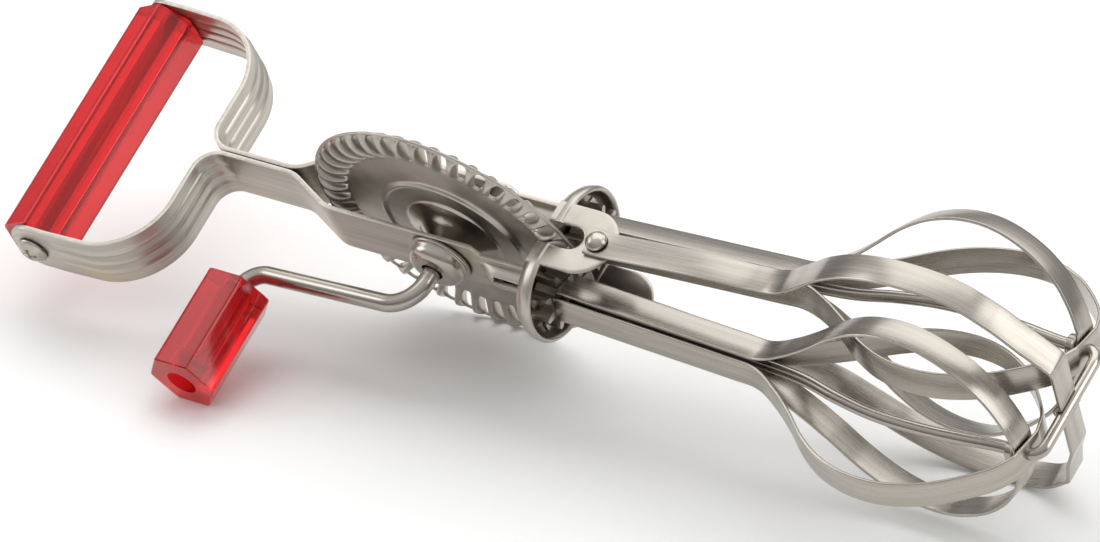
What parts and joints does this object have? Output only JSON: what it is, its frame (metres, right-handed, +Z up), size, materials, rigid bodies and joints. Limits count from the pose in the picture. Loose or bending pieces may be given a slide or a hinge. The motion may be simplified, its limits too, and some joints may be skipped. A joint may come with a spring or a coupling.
{
  "type": "rotary egg beater",
  "caption": "Hand-cranked steel egg beater: a slotted gear wheel turns interleaved whisks inside a fixed loop, with a clear red plastic grip and crank knob.",
  "frame": {"origin": "middle of the bounding box on the table that the tool lies on", "axes": "+X along the tool from the grip to the whisk, +Y away from the crank, +Z up from the table"},
  "size_m": [0.2866, 0.09, 0.0756],
  "materials": {
    "brushed_steel": "stainless strip brushed along its length",
    "wheel_steel": "stainless sheet brushed straight across, with pressed bars",
    "polished_steel": "polished stainless, slightly warm",
    "wire_steel": "drawn stainless wire",
    "red_acrylic": "clear red acrylic with polished faces and sawn ends"
  },
  "bodies": {
    "frame": {"near_frame_strap": "brushed_steel", "far_frame_strap": "brushed_steel", "grip": "red_acrylic", "grip_tie_rod": "wire_steel", "near_grip_screw": "polished_steel", "far_grip_screw": "polished_steel", "gear_yoke": "brushed_steel", "fixed_loop": "brushed_steel", "upper_stay_rivet": "polished_steel", "lower_stay_rivet": "polished_steel", "axle_wire": "wire_steel", "near_bearing_cup": "polished_steel", "far_bearing_collar": "polished_steel"},
    "crank": {"drive_wheel": "wheel_steel", "crank_rod": "polished_steel", "axle_spacer": "brushed_steel", "axle_washer": "polished_steel", "knob_retainer": "polished_steel"},
    "knob": {"knob": "red_acrylic"},
    "near_beater": {"near_pinion": "brushed_steel", "near_blade_loop_a": "brushed_steel", "near_blade_loop_b": "brushed_steel", "near_eyelet": "polished_steel"},
    "far_beater": {"far_pinion": "brushed_steel", "far_blade_loop_a": "brushed_steel", "far_blade_loop_b": "brushed_steel", "far_eyelet": "polished_steel"}
  },
  "joints": [
    {"name": "crank_turn", "type": "hinge", "parent": "frame", "child": "crank", "pos_m": [-0.0312, 0.00753, 0.03497], "axis": [0, 0.9152, 0.4029], "continuous": true},
    {"name": "knob_spin", "type": "hinge", "parent": "crank", "child": "knob", "pos_m": [-0.07971, -0.02877, 0.01318], "axis": [0, 0.9152, 0.4029], "continuous": true},
    {"name": "near_beater_spin", "type": "hinge", "parent": "frame", "child": "near_beater", "pos_m": [0.00179, -0.00063, 0.03217], "axis": [0.9986, -0.0521, 0.0009], "continuous": true},
    {"name": "far_beater_spin", "type": "hinge", "parent": "frame", "child": "far_beater", "pos_m": [0.00179, 0.01511, 0.0391], "axis": [0.9986, 0.0345, 0.0391], "continuous": true}
  ],
  "couplings": [
    {"joint": "near_beater_spin", "follows": "crank_turn", "ratio": -5.5},
    {"joint": "far_beater_spin", "follows": "crank_turn", "ratio": 5.5}
  ]
}
